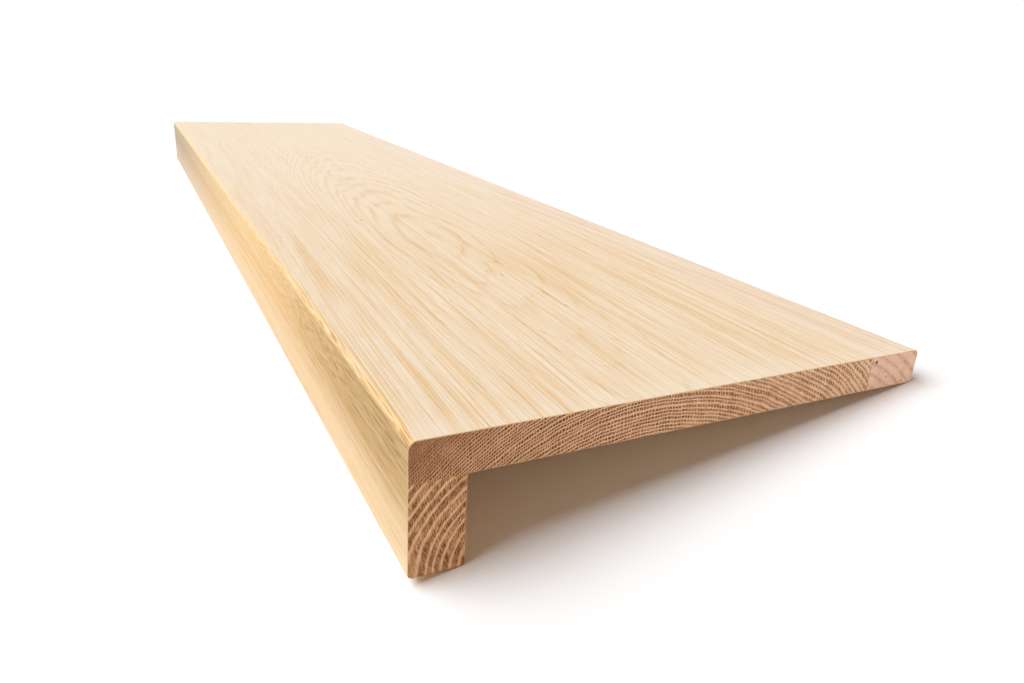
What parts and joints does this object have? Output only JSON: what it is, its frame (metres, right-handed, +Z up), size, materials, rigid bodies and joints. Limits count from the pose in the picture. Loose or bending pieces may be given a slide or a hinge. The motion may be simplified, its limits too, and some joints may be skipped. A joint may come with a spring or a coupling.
{
  "type": "stair tread",
  "caption": "Unfinished oak retrofit stair tread: a thin glued-up board with a deep square nosing along its front edge, laid over an old step to renew its walking surface.",
  "frame": {"origin": "on the floor, in the middle of the tread's outline seen from above", "axes": "+X along the length of the step, +Y from the nose to the back edge, +Z up; the tread lies on the heel of its nose and on its back edge, so its top leans back by about 9.5 degrees"},
  "size_m": [1.2192, 0.2978, 0.066],
  "materials": {
    "wide_stave_oak": "planed and sanded oak, no finish",
    "back_stave_oak": "planed and sanded oak, no finish",
    "nosing_oak": "planed and sanded oak, no finish"
  },
  "bodies": {
    "root": {"wide_stave": "wide_stave_oak", "back_stave": "back_stave_oak", "nosing_strip": "nosing_oak"}
  },
  "joints": []
}
